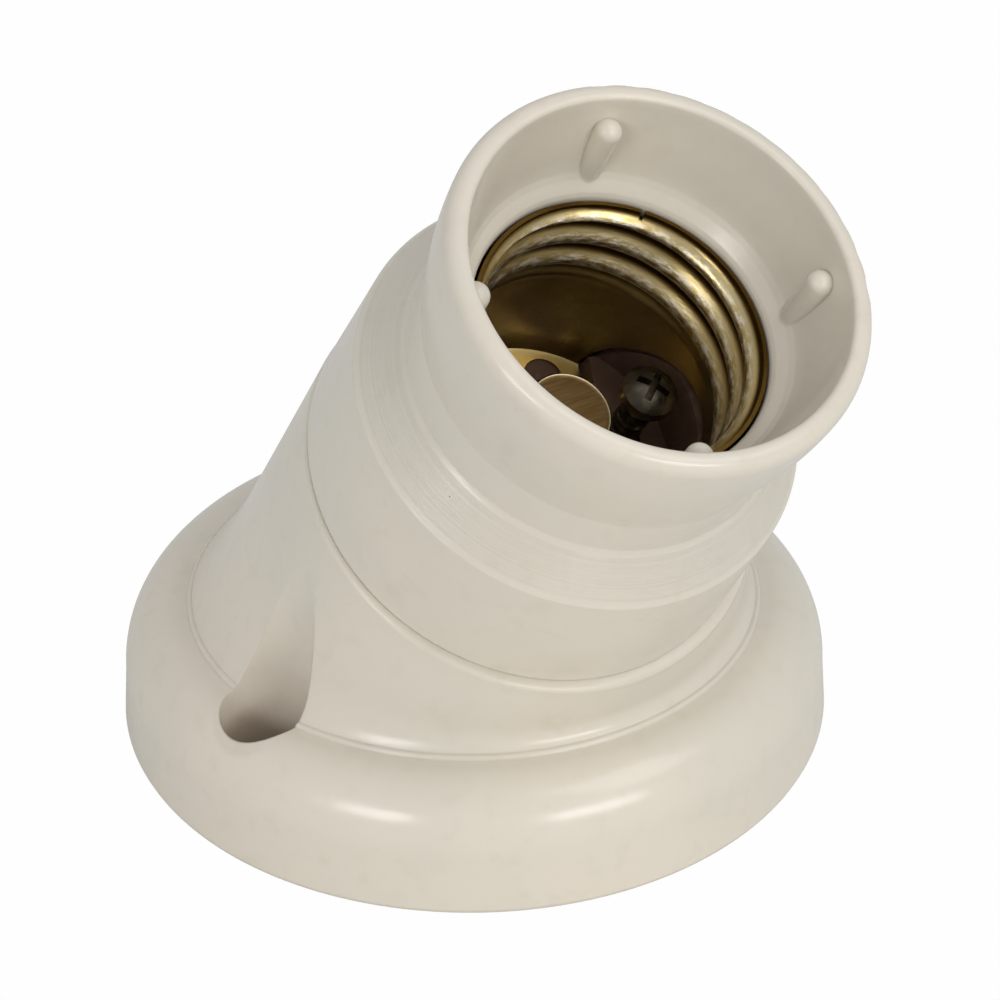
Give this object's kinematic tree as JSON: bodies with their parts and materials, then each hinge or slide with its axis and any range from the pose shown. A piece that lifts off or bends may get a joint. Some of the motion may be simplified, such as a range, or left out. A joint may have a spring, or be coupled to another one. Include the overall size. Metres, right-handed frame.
{
  "type": "angled lampholder",
  "caption": "Angled surface-mounted lampholder: round moulded foot, leaning collar, screwed cover ring with a flared lip, and a brass screw shell with centre contact on an inner core.",
  "frame": {"origin": "centre of the round foot on the wall plane, midway between the two wall-screw holes", "axes": "+Z out of the wall, the lamp's axis leans from +Z towards -Y, +X square to both"},
  "size_m": [0.0734, 0.0835, 0.0726],
  "materials": {
    "cream_moulding": "smooth glossy moulded plastic",
    "cover_moulding": "smooth glossy moulded plastic",
    "brown_bakelite": "dull moulded bakelite",
    "shell_brass": "rolled brass, tarnished in the grooves",
    "tongue_brass": "folded spring brass",
    "disc_brass": "brushed brass, dulled",
    "rivet_brass": "bright brass",
    "blackened_steel": "blackened steel",
    "terminal_brass": "plain brass",
    "terminal_screw_brass": "plain brass",
    "washer_brass": "plain brass"
  },
  "bodies": {
    "holder": {"base_body": "cream_moulding", "core": "brown_bakelite", "screw_shell": "shell_brass", "contact_tongue": "tongue_brass", "centre_rivet": "rivet_brass", "shell_rivet": "rivet_brass", "core_screws": "blackened_steel", "live_terminal": "terminal_brass", "neutral_terminal": "terminal_brass", "terminal_screws": "terminal_screw_brass", "clamp_washers": "washer_brass"},
    "cover_ring": {"cover": "cover_moulding"},
    "contact": {"contact_disc": "disc_brass"}
  },
  "joints": [
    {"name": "cover_off", "type": "slide", "parent": "holder", "child": "cover_ring", "axis": [0, -0.5621, 0.8271], "range_m": [0, 0.012]},
    {"name": "contact_press", "type": "slide", "parent": "holder", "child": "contact", "axis": [0, 0.5621, -0.8271], "range_m": [0, 0.0015], "stiffness_N_per_m": 2000, "springref_m": -0.0005, "deforming": ["contact_tongue"]}
  ]
}
